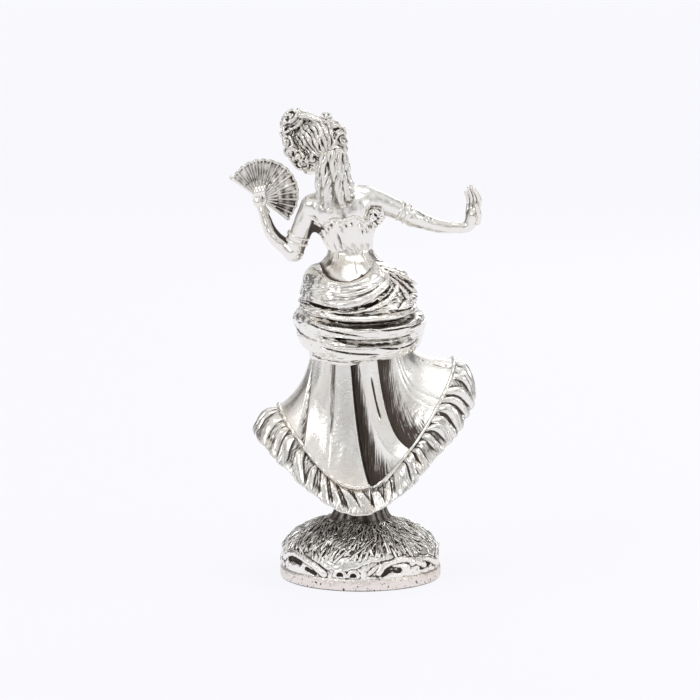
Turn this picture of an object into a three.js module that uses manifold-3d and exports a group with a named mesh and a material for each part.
// Souvenir figurine: a cast silver lady in a draped ball gown, holding up an open fan, on a grassy mound.
// Millimetres, +Z up. The origin is the centre of the base's flat underside.
// She faces +Y, and her right hand is at +X.
// Angles round the gown are counted from +X towards +Y, so her back is at 270 degrees.
import * as THREE from "three";
import { mergeVertices } from "three/addons/utils/BufferGeometryUtils.js";
import Module from "manifold-3d";

const wasm = await Module();
wasm.setup();

const { clamp, degToRad, lerp, smoothstep } = THREE.MathUtils;
const vec = (x, y, z) => new THREE.Vector3(x, y, z);

// ---- Driving dimensions ----
const GAP = 0.25; // soldered gap between neighbouring castings
const BASE_RADIUS = 15.5;
const PLATE_TOP = 1.5; // the closing plate's thickness
const MOUND_TOP = 11.4;
const SEAT = 4.6; // the face in the mound that the screw's head pulls against
const BORDER_TOP = 4.2; // mean height of the scroll border
const BORDER_SCROLLS = 11;
const SCREW_RADIUS = 1.1;
const SCREW_TIP = 19;
const SKIRT_TOP = { r: 9.3, z: 44.5 }; // where the skirt leaves the hips
const SKIRT_WALL = 1.1;
const WAIST = 60.4; // height of the waist seam
const NECKLINE = 69; // height of the bodice's upper edge
const FLOUNCE_WALL = 0.9;
const FLOUNCE_PLEATS = 30;
const PIPING_RADIUS = 0.35;
const FAN = { pivot: vec(-19.2, 5.4, 73), from: -36, to: 144, radius: 8, leafStart: 3.1, thick: 0.55 };
const FAN_PLEATS = 14;
const HEAD = { centre: vec(-8.4, 0.2, 83.7), half: vec(3.8, 4.6, 5.1), turn: 50, nod: -8, lean: -12 };

// Hem and skirt edge: mean, plus a share that goes with cos(a), sin(a) and cos(2a) round the gown.
const HEM_RADIUS = [17.9, 0.65, -0.5, 2.8];
const HEM_HEIGHT = [24, 3.5, 1.5, 8.5];
const FLOUNCE_DROP = [4.6, 0.75, 0, 1.1];
const FLOUNCE_SPREAD = [2.7, 0.1, 0, 1.4];

// Valleys between the skirt's folds: [angle in degrees, half width in degrees, depth at the edge].
const VALLEYS = [
  [20, 7, 1.2], [50, 8, 1.4], [78, 7, 1.0], [102, 8, 1.5], [129, 7, 1.2], [156, 7, 1.0], [186, 6, 0.8],
  [217, 5, 0.9], [241, 5, 0.6], [283, 8, 2.0], [305, 7, 1.6], [322, 4, 0.6], [345, 6, 0.8],
];

// ---- Helpers ----
const silver = (roughness = 0.22, tone = 0xcfccc6) =>
  new THREE.MeshStandardMaterial({ color: tone, roughness, metalness: 1 });

// A geometry, placed by an optional matrix, as a manifold-3d solid facing out.
function solid(geometry, matrix = new THREE.Matrix4()) {
  const shape = geometry.clone().applyMatrix4(matrix);
  for (const name of ["normal", "uv"]) shape.deleteAttribute(name);
  const merged = mergeVertices(shape, 1e-4);
  const make = (index) =>
    new wasm.Manifold(
      new wasm.Mesh({ numProp: 3, vertProperties: merged.attributes.position.array, triVerts: index }),
    );
  const made = make(new Uint32Array(merged.index.array));
  if (made.volume() >= 0) return made;
  const turned = new Uint32Array(merged.index.array);
  for (let i = 0; i < turned.length; i += 3) [turned[i + 1], turned[i + 2]] = [turned[i + 2], turned[i + 1]];
  return make(turned);
}

const figurine = new THREE.Group();

function addPiece(name, shape, material = silver()) {
  const { vertProperties, triVerts, numProp } = shape.getMesh();
  const geometry = new THREE.BufferGeometry();
  const count = vertProperties.length / numProp;
  const points = new Float32Array(count * 3);
  for (let i = 0; i < count; i++) {
    points.set(vertProperties.slice(i * numProp, i * numProp + 3), i * 3);
  }
  geometry.setAttribute("position", new THREE.BufferAttribute(points, 3));
  geometry.setIndex(new THREE.BufferAttribute(triVerts, 1));
  geometry.computeVertexNormals();
  const mesh = new THREE.Mesh(geometry, material);
  mesh.name = name;
  figurine.add(mesh);
}

// A body turned about +Z: its profile has rows points, and row j at angle a (radians) goes to place(a, j).
function turned(rows, segments, place) {
  const profile = Array.from({ length: rows }, (_, j) => new THREE.Vector2(1, j));
  const geometry = new THREE.LatheGeometry(profile, segments);
  const position = geometry.attributes.position;
  for (let i = 0; i < position.count; i++) {
    const segment = Math.floor(i / rows) % segments;
    position.setXYZ(i, ...place((segment / segments) * 2 * Math.PI, i % rows).toArray());
  }
  return solid(geometry);
}

// A point at angle a, radius r and height z, about a line that leans with the figure's spine.
const around = (a, r, z) => vec(spine(z) + r * Math.cos(a), r * Math.sin(a), z);

// A plain turned body or ring: profile is a list of [radius, height].
function lathe(profile, segments, squeeze = () => [1, 1, 0]) {
  return turned(profile.length, segments, (a, j) => {
    const [r, z] = profile[j];
    const [wide, deep, forward] = squeeze(z);
    return vec(spine(z) + r * wide * Math.cos(a), r * deep * Math.sin(a) + forward, z);
  });
}

// A rounded limb along a smooth curve through points; radii are spread evenly along it. Its ends are domed.
function limb(points, radii, sides = 12, rows = 7, grow = 0) {
  const curve = new THREE.CatmullRomCurve3(points);
  const dome = 2; // rows in each rounded end
  const total = rows + 2 * dome;
  const radiusAt = (t) => {
    const at = t * (radii.length - 1);
    const k = Math.min(Math.floor(at), radii.length - 2);
    return lerp(radii[k], radii[k + 1], at - k) + grow;
  };
  const frames = curve.computeFrenetFrames(rows);
  return turned(total + 1, sides, (a, j) => {
    const body = clamp(j - dome, 0, rows);
    const t = body / rows;
    const r = radiusAt(t);
    // 0 on the body, 1 at a pole
    const cap = (clamp(dome - j, 0, dome) + clamp(j - dome - rows, 0, dome)) / dome;
    const beyond = Math.sign(j - dome - rows / 2) * Math.sin((cap * Math.PI) / 2) * r * 0.6;
    const wide = Math.cos((cap * Math.PI) / 2) * r;
    const at = curve.getPoint(t).addScaledVector(frames.tangents[body], beyond);
    if (cap === 1) return at;
    return at
      .addScaledVector(frames.normals[body], wide * Math.cos(a))
      .addScaledVector(frames.binormals[body], wide * Math.sin(a));
  });
}

// An ellipsoid with these half axes, placed by a matrix.
const ellipsoid = (half, matrix, sides = 16, rows = 10) =>
  solid(new THREE.SphereGeometry(1, sides, rows).scale(half.x, half.y, half.z), matrix);

const shifted = (v) => new THREE.Matrix4().makeTranslation(v);
const join = (list) => list.reduce((a, b) => a.add(b));

// ---- The gown's shape ----
// The spine leans to her left, towards -X, above the hips.
function spine(z) {
  return -1.75 * smoothstep(z, 44, 61) - 1.5 * smoothstep(z, 61, 69) - 2 * smoothstep(z, 69, 77);
}

const wave = ([mean, along, across, twice], a) =>
  mean + along * Math.cos(a) + across * Math.sin(a) + twice * Math.cos(2 * a);

function foldDepth(a) {
  return VALLEYS.reduce((sum, [at, half, depth]) => {
    const away = Math.abs(((((a * 180) / Math.PI - at + 540) % 360) + 360) % 360 - 180);
    return sum + depth * Math.exp(-((away / half) ** 2));
  }, 0);
}

const hemAt = (a) => ({ r: wave(HEM_RADIUS, a) - 0.5 * foldDepth(a), z: wave(HEM_HEIGHT, a) });

function edgeAt(a) {
  return {
    r: wave(HEM_RADIUS, a) - wave(FLOUNCE_SPREAD, a) - foldDepth(a),
    z: wave(HEM_HEIGHT, a) + wave(FLOUNCE_DROP, a),
  };
}

// A quadratic curve in the plane at one angle: its point at t, moved off by offset along its outward normal.
function quadratic(p, c, q, t, offset) {
  const at = (k) => (1 - t) ** 2 * p[k] + 2 * t * (1 - t) * c[k] + t * t * q[k];
  const slope = (k) => 2 * (1 - t) * (c[k] - p[k]) + 2 * t * (q[k] - c[k]);
  const length = Math.hypot(slope("r"), slope("z"));
  return { r: at("r") - (slope("z") / length) * offset, z: at("z") + (slope("r") / length) * offset };
}

// The skirt's outer surface from the hips, t = 0, to the edge, t = 1.
function skirtAt(a, t, offset = 0) {
  const edge = edgeAt(a);
  const bend = { r: SKIRT_TOP.r + 1, z: edge.z + 0.3 * (SKIRT_TOP.z - edge.z) };
  return quadratic(SKIRT_TOP, bend, edge, t, offset);
}

// The flounce's middle surface from the skirt's edge to the hem, with its gathers.
function flounceAt(a, t, offset = 0) {
  const edge = edgeAt(a);
  const hem = hemAt(a);
  const bend = { r: hem.r - 0.3, z: edge.z - 0.25 * (edge.z - hem.z) };
  const gather = (0.15 + 0.55 * t) * Math.cos(FLOUNCE_PLEATS * a);
  return quadratic(edge, bend, hem, t, offset + gather);
}

const point = (a, { r, z }) => vec(r * Math.cos(a), r * Math.sin(a), z);

// ---- Base ----
function makeBase() {
  addPiece("base_plate", lathe([[0, 0], [15.1, 0], [15.4, 0.3], [15.4, PLATE_TOP], [0, PLATE_TOP]], 36));

  const floor = PLATE_TOP + GAP;
  const hole = SCREW_RADIUS + GAP;
  const recess = 2.3 + GAP; // counterbore for the screw's head
  const mound = [
    [recess, floor], [recess, SEAT], [hole, SEAT], [hole, MOUND_TOP], [3, MOUND_TOP], [5.5, 11],
    [8, 10], [11, 8.5], [13.3, 6.7], [14.6, 4.9], [14.8, 3.4], [14.8, floor], [recess, floor],
  ];
  addPiece("base_mound", lathe(mound, 32), silver(0.4, 0xa9a6a0));

  const scroll = (a) => BORDER_TOP + 0.6 * Math.cos(BORDER_SCROLLS * a);
  const rows = [[15.05, 0], [BASE_RADIUS, 0], [BASE_RADIUS, 1], [15.05, 1], [15.05, 0]];
  const border = turned(rows.length, BORDER_SCROLLS * 4, (a, j) => {
    const [r, up] = rows[j];
    return vec(r * Math.cos(a), r * Math.sin(a), lerp(floor, scroll(a), up));
  });
  addPiece("scroll_border", border);

  const head = SEAT - GAP;
  const screw = [
    [0, head - 1.4], [2.3, head - 1.4], [2.3, head], [SCREW_RADIUS, head], [SCREW_RADIUS, SCREW_TIP - 0.8],
    [0, SCREW_TIP],
  ];
  addPiece("fixing_screw", lathe(screw, 18), silver(0.35, 0xb5a87c));
}

// ---- Petticoat and shoes ----
const PETTICOAT = [[6.6, 11.1], [5.3, 13], [4.6, 15], [4.4, 18], [4.9, 25], [5.6, 33], [5.9, 40], [4.5, 43]];

function petticoatShape(grow = 0) {
  const bore = SCREW_RADIUS + GAP;
  const rows = [[0, 20], [bore, 20], [bore, MOUND_TOP + GAP], [4.2, MOUND_TOP + GAP], ...PETTICOAT, [0, 43]];
  return turned(rows.length, 36, (a, j) => {
    const [r, z] = rows[j];
    const outside = j > 3 && r > 0;
    const flute = 0.35 * Math.cos(12 * a) * (1 - smoothstep(z, 12, 30));
    return point(a, { r: outside ? r + flute + grow : r, z });
  });
}

function makeFeet() {
  addPiece("petticoat", petticoatShape());
  const room = petticoatShape(GAP);
  for (const [name, side] of [["left_shoe", -1], ["right_shoe", 1]]) {
    const place = shifted(vec(side * 2.2, 7.6, 11.2))
      .multiply(new THREE.Matrix4().makeRotationZ(degToRad(side * -14)))
      .multiply(new THREE.Matrix4().makeRotationX(degToRad(-28)));
    addPiece(name, ellipsoid(vec(1.1, 2.4, 0.75), place, 14, 8).subtract(room));
  }
}

// ---- Skirt ----
const SKIRT_ROWS = 5;
const HIPS = [[4.1, WAIST - GAP], [5.4, 58], [6.9, 55], [7.9, 51.5], [8.6, 48]];

// The skirt's outside, filled in: used to keep other castings off it.
function skirtRoom(grow) {
  return turned(SKIRT_ROWS + 3, 48, (a, j) => {
    if (j === 0) return vec(0, 0, SKIRT_TOP.z + 1.5);
    if (j === SKIRT_ROWS + 2) return vec(0, 0, 15);
    if (j === 1) return point(a, { r: SKIRT_TOP.r - 0.3 + grow, z: SKIRT_TOP.z + 1.5 });
    return point(a, skirtAt(a, (j - 2) / (SKIRT_ROWS - 1), grow));
  });
}

function makeSkirt() {
  const hips = HIPS.length;
  const rows = 1 + hips + 2 * SKIRT_ROWS + 2;
  const skirt = turned(rows, 48, (a, j) => {
    if (j === 0) return around(0, 0, WAIST - GAP);
    if (j <= hips) return around(a, ...HIPS[j - 1]);
    const k = j - hips - 1;
    const back = 2 * SKIRT_ROWS - 1 - k; // counts up the inside again
    if (back < 0) return vec(0, 0, SKIRT_TOP.z - 1);
    const inside = k >= SKIRT_ROWS;
    return point(a, skirtAt(a, (inside ? back : k) / (SKIRT_ROWS - 1), inside ? -SKIRT_WALL : 0));
  });
  addPiece("skirt", skirt);

  const FLOUNCE_ROWS = 3;
  const start = 0.06; // leaves the skirt's edge free
  const flounce = turned(2 * FLOUNCE_ROWS + 1, FLOUNCE_PLEATS * 4, (a, j) => {
    const k = j % (2 * FLOUNCE_ROWS);
    const inside = k >= FLOUNCE_ROWS;
    const t = (inside ? 2 * FLOUNCE_ROWS - 1 - k : k) / (FLOUNCE_ROWS - 1);
    return point(a, flounceAt(a, lerp(start, 1, t), inside ? -FLOUNCE_WALL : 0));
  });
  addPiece("flounce", flounce);

  const cordSides = 6;
  const piping = turned(cordSides + 1, 48, (a, j) => {
    const centre = skirtAt(a, 0.97, PIPING_RADIUS + GAP);
    const b = (j / cordSides) * 2 * Math.PI;
    return point(a, { r: centre.r + PIPING_RADIUS * Math.cos(b), z: centre.z + PIPING_RADIUS * Math.sin(b) });
  });
  addPiece("hem_piping", piping.subtract(skirtRoom(0.1)).subtract(flounce));
}

// ---- Bustle: three wraps of drapery round the hips ----
const DRAPES = {
  hip_wrap: [
    [4.7, 60.1], [5.9, 58], [7.4, 55], [8.4, 52], [11.9, 51.4], [11.7, 53.2], [10.7, 55.8],
    [9.2, 58.2], [7, 59.8], [5.8, 60.1], [4.7, 60.1],
  ],
  middle_drape: [[8.9, 51.1], [9.1, 47.7], [11.5, 47], [12.6, 48], [12.9, 49.6], [12.1, 50.8], [8.9, 51.1]],
  lower_drape: [
    [9.3, 47.4], [9.7, 44.6], [9.8, 42.4], [10.6, 41.8], [11.8, 43], [12.5, 45], [12.1, 46.6],
    [9.3, 47.4],
  ],
};

function makeBustle() {
  const room = skirtRoom(GAP);
  for (const [name, profile] of Object.entries(DRAPES)) {
    const ring = turned(profile.length, 36, (a, j) => {
      const [r, z] = profile[j];
      const rise = 0.5 * Math.cos(a) * smoothstep(r, 8, 12);
      const swell = 0.06 * smoothstep(r, 9, 12) * Math.max(0, -Math.sin(a));
      return around(a, r * (1 + swell), z + rise);
    });
    addPiece(name, ring.subtract(room));
  }
}

// ---- Bodice, shoulders and neck ----
const torsoSqueeze = (z) => [1, lerp(0.82, 0.66, smoothstep(z, 60, 70)), 0.9 * smoothstep(z, 62, 66)];
const NECK_TOP = 80.4; // inside the head
const BODICE = [
  [0, WAIST + 0.05], [4.3, WAIST + 0.05], [4.6, 62], [5, 64], [5.7, 66.3], [6.2, NECKLINE - 0.8],
  [6.1, NECKLINE], [0, NECKLINE],
];
const BUST = [
  [0, NECKLINE + GAP], [5.8, NECKLINE + GAP], [6, 71], [5.6, 72.6], [4.2, 74.2], [2.7, 75.4],
  [2.15, 77], [2.1, NECK_TOP], [0, NECK_TOP],
];
const FRILL = [[6.5, 67.6], [7.1, 67.9], [7.3, 68.8], [6.9, 69.4], [6.5, 69], [6.5, 67.6]];
const FRILL_ROOM = [[0, 67.3], [7.5, 67.3], [7.6, 69.7], [0, 69.7]];

function makeTorso() {
  addPiece("bodice", lathe(BODICE, 24, torsoSqueeze));
  addPiece("shoulders", lathe(BUST, 24, torsoSqueeze));
  addPiece("neckline_frill", lathe(FRILL, 36, torsoSqueeze));
}

// A profile with its outside moved out by the gap.
const grown = (profile) => profile.map(([r, z]) => [r ? r + GAP : 0, z]);

const torsoRoom = () =>
  join([
    lathe(grown(BODICE), 24, torsoSqueeze),
    lathe(grown(BUST), 24, torsoSqueeze),
    lathe(FRILL_ROOM, 36, torsoSqueeze),
  ]);

// ---- Arms, glove cuffs and hands ----
const ARMS = {
  left: {
    upper: [[vec(-9.1, 0, 72.6), vec(-10.9, 0.6, 67.6), vec(-12.4, 1.5, 62.6)], [2.2, 1.95, 1.75]],
    fore: [[vec(-12.9, 1.9, 61.6), vec(-16.6, 3.2, 65.3), vec(-19, 4.3, 70.6)], [1.7, 1.35, 0.85]],
    cuff: [vec(-12, 1.25, 64.6), vec(-11.6, 1, 65.8), 2.5],
  },
  right: {
    upper: [[vec(-0.6, 0, 72.8), vec(4.8, 0.4, 71.2), vec(9.6, 0.9, 69)], [2.2, 1.95, 1.6]],
    fore: [[vec(10.6, 1, 68.4), vec(15, 1.8, 67), vec(19.8, 2.6, 66.9)], [1.5, 1.25, 0.95]],
    cuff: [vec(6.8, 0.6, 70.4), vec(7.9, 0.7, 69.9), 2.35],
  },
};

// A ring round a limb, from one point on its line to another.
function cuffRing([from, to, radius], limbRoom) {
  return limb([from, from.clone().lerp(to, 0.5), to], [radius, radius, radius], 16, 2).subtract(limbRoom);
}

// A palm with fingers, joined into one casting. In its own frame +Z runs along the fingers, the thumb is
// at +X and the palm faces +Y, so a matrix that mirrors makes it a right hand.
function hand(matrix) {
  const digit = (points, radius) =>
    limb(points.map((p) => p.applyMatrix4(matrix)), [radius, radius * 0.95, radius * 0.7], 8, 4);
  const fingers = [-1.5, -0.5, 0.5, 1.5].map((k) => {
    const knuckle = 1;
    const length = 4.4 - 0.3 * k * k;
    const middle = vec(0.78 * k, 0.2, knuckle + length * 0.55);
    return digit([vec(0.8 * k, 0, knuckle), middle, vec(0.62 * k, 0.9, knuckle + length)], 0.42);
  });
  const thumb = digit([vec(1.1, 0.1, -0.8), vec(2, 0.7, 0.6), vec(1.9, 1.2, 2)], 0.45);
  return join([ellipsoid(vec(1.7, 0.7, 2.1), matrix, 12, 8), ...fingers, thumb]);
}

function makeArms() {
  const torso = torsoRoom();
  const upperRooms = {};
  const foreRooms = {};
  for (const [side, { upper, fore, cuff }] of Object.entries(ARMS)) {
    const upperRoom = limb(...upper, 12, 7, GAP);
    const [from, to, radius] = cuff;
    const cuffRoom = limb([from, from.clone().lerp(to, 0.5), to], [radius, radius, radius], 16, 2, GAP);
    addPiece(`${side}_upper_arm`, limb(...upper, 12, 7).subtract(torso));
    addPiece(`${side}_glove_cuff`, cuffRing(cuff, upperRoom).subtract(torso));
    addPiece(`${side}_forearm`, limb(...fore, 12, 7).subtract(upperRoom).subtract(cuffRoom));
    upperRooms[side] = upperRoom;
    foreRooms[side] = limb(...fore, 12, 7, GAP);
  }

  // The right hand bends back from the wrist, fingers up, with its palm half towards her back.
  const rightHand = new THREE.Matrix4()
    .makeBasis(vec(0.78, -0.6, 0.1), vec(-0.6, -0.78, 0.05), vec(-0.1, 0.06, 0.98))
    .setPosition(vec(21.2, 2.6, 69.1));
  addPiece("right_hand", hand(rightHand).subtract(foreRooms.right));

  // The left hand closes on the fan's pivot.
  const leftHand = new THREE.Matrix4()
    .makeRotationZ(degToRad(8))
    .setPosition(vec(-19.3, 4.2, 72.3));
  addPiece("left_hand", ellipsoid(vec(1.3, 0.7, 1.5), leftHand, 14, 10).subtract(foreRooms.left));
  return { upperRooms, foreRooms };
}

// ---- Head and hair ----
const headFrame = new THREE.Matrix4()
  .makeRotationFromEuler(new THREE.Euler(degToRad(HEAD.nod), degToRad(HEAD.lean), degToRad(HEAD.turn), "ZYX"))
  .setPosition(HEAD.centre);
const inHead = (x, y, z) => vec(x, y, z).applyMatrix4(headFrame);
const headPlaced = (x, y, z) => headFrame.clone().multiply(shifted(vec(x, y, z)));

function makeHead(foreRooms) {
  const neckProfile = grown(BUST).map(([r, z]) => [r, z === NECK_TOP ? z + GAP : z]);
  const neck = lathe(neckProfile, 24, torsoSqueeze);
  const wider = (half, by) => half.clone().addScalar(by);
  const chinHalf = vec(2.1, 2.2, 1.7);
  const headShape = (by) =>
    ellipsoid(wider(HEAD.half, by), headPlaced(0, 0, 0.2), 16, 12).add(
      ellipsoid(wider(chinHalf, by), headPlaced(0, 1.9, -3.3), 12, 8),
    );
  const nose = ellipsoid(vec(0.5, 0.9, 0.95), headPlaced(0, 4.6, -0.6), 8, 6);
  addPiece("head", headShape(0).add(nose).subtract(neck));

  const face = solid(new THREE.BoxGeometry(12, 8, 9), headPlaced(0, 5.4, -2.4));
  const capHalf = vec(4.9, 5.6, 5.3);
  const capShape = (by) => ellipsoid(wider(capHalf, by), headPlaced(0, -0.4, 0.3), 18, 12);
  addPiece("hair", capShape(0).subtract(headShape(GAP)).subtract(face).subtract(neck));

  const hairRoom = capShape(GAP).add(headShape(GAP));
  const ball = (at, r) => ellipsoid(vec(r, r, r), shifted(at), 10, 7);
  const topknotAt = inHead(-0.2, 4.4, 4.2);
  addPiece("topknot", ball(topknotAt, 2.2).subtract(hairRoom));
  addPiece("hair_flower", ball(vec(-5.6, -0.6, 88.3), 1.2).subtract(hairRoom));

  const curls = [vec(-3.6, -1.6, 86.4), vec(-3.1, -1.6, 84.6), vec(-3.2, -1.8, 82.8)];
  addPiece("right_curls", join(curls.map((at) => ball(at, 1.2))).subtract(hairRoom));
  const cheek = [vec(-13, -2.6, 82.6), vec(-12.2, -3.2, 81.2), vec(-10.8, -3.6, 80.2)];
  addPiece("left_curls", join(cheek.map((at) => ball(at, 1.1))).subtract(hairRoom).subtract(neck));
  return { hairRoom, neck };
}

const RINGLETS = [
  [vec(-6.9, -4.9, 80.6), vec(-7.6, -4.4, 76.5), vec(-7.8, -4.6, 72.6)],
  [vec(-5.2, -5.2, 81), vec(-5.6, -4.9, 75.6), vec(-5.8, -5.2, 70.6)],
  [vec(-3.7, -4.8, 81), vec(-3.8, -4.7, 75.6), vec(-3.5, -5, 71)],
  [vec(-2.4, -3.9, 80.6), vec(-2.2, -4, 76.8), vec(-1.8, -4.4, 73.4)],
];

function makeRinglets({ hairRoom, neck }) {
  const torso = torsoRoom();
  const arm = limb(...ARMS.right.upper, 12, 7, GAP);
  let placed = hairRoom.add(neck).add(torso).add(arm);
  RINGLETS.forEach((points, i) => {
    const lock = limb(points, [0.75, 0.85, 0.6], 10, 8);
    addPiece(`ringlet_${i + 1}`, lock.subtract(placed));
    placed = placed.add(limb(points, [0.75, 0.85, 0.6], 10, 8, GAP));
  });
}

// ---- Fan ----
// A point on the fan: degrees round its pivot in the X-Z plane, distance from the pivot, and place
// through its thickness.
const onFan = (degrees, r, through) =>
  FAN.pivot.clone().add(vec(r * Math.cos(degToRad(degrees)), through, r * Math.sin(degToRad(degrees))));

// A blade between two angles and two radii, with pleats of a given height.
function fanBlade(from, to, inner, outer, thick, steps, height, through = 0) {
  const geometry = new THREE.BoxGeometry(1, 1, 1, steps, 1, 3);
  const position = geometry.attributes.position;
  for (let i = 0; i < position.count; i++) {
    const [u, v, w] = [position.getX(i) + 0.5, position.getY(i), position.getZ(i) + 0.5];
    const pleat = Math.round(u * steps) % 2 ? height : -height;
    const r = lerp(inner, outer, w);
    position.setXYZ(i, ...onFan(lerp(from, to, u), r, through + v * thick + pleat * w).toArray());
  }
  return solid(geometry);
}

function makeFan({ upperRooms, foreRooms }) {
  const { from, to, radius, leafStart, thick } = FAN;
  const inset = 5; // degrees that each guard covers
  const keep = join([upperRooms.left, foreRooms.left, torsoRoom()]);
  const leaf = fanBlade(from + inset, to - inset, leafStart, radius, thick, 2 * FAN_PLEATS, 0.25);
  addPiece("fan_leaf", leaf.subtract(keep));

  const step = (to - from - 4 * inset) / (FAN_PLEATS - 1);
  const sticks = Array.from({ length: FAN_PLEATS }, (_, i) => {
    const at = from + 2 * inset + i * step;
    return fanBlade(at - 4, at + 4, 0.5, leafStart - GAP, thick, 1, 0);
  });
  const hub = solid(new THREE.CylinderGeometry(1.1, 1.1, thick, 16), shifted(FAN.pivot));
  const guardRooms = [from, to].map((at) => fanBlade(at - 8, at + 8, 0.2, radius, thick * 2, 1, 0));
  addPiece("fan_sticks", join([hub, ...sticks]).subtract(join([keep, ...guardRooms])));

  for (const [name, outer, inward] of [["fan_guard_right", from, 1], ["fan_guard_left", to, -1]]) {
    const edges = [outer, outer + inward * (inset - 2)];
    const blade = fanBlade(Math.min(...edges), Math.max(...edges), 1.4, radius + 0.3, thick * 1.3, 1, 0);
    const eyelet = new THREE.CylinderGeometry(0.6, 0.6, thick * 1.3, 10);
    addPiece(name, blade.add(solid(eyelet, shifted(onFan(outer, radius - 0.3, 0)))).subtract(keep));
  }
}

makeBase();
makeFeet();
makeSkirt();
makeBustle();
makeTorso();
const armRooms = makeArms();
makeRinglets(makeHead(armRooms.foreRooms));
makeFan(armRooms);

export default figurine;
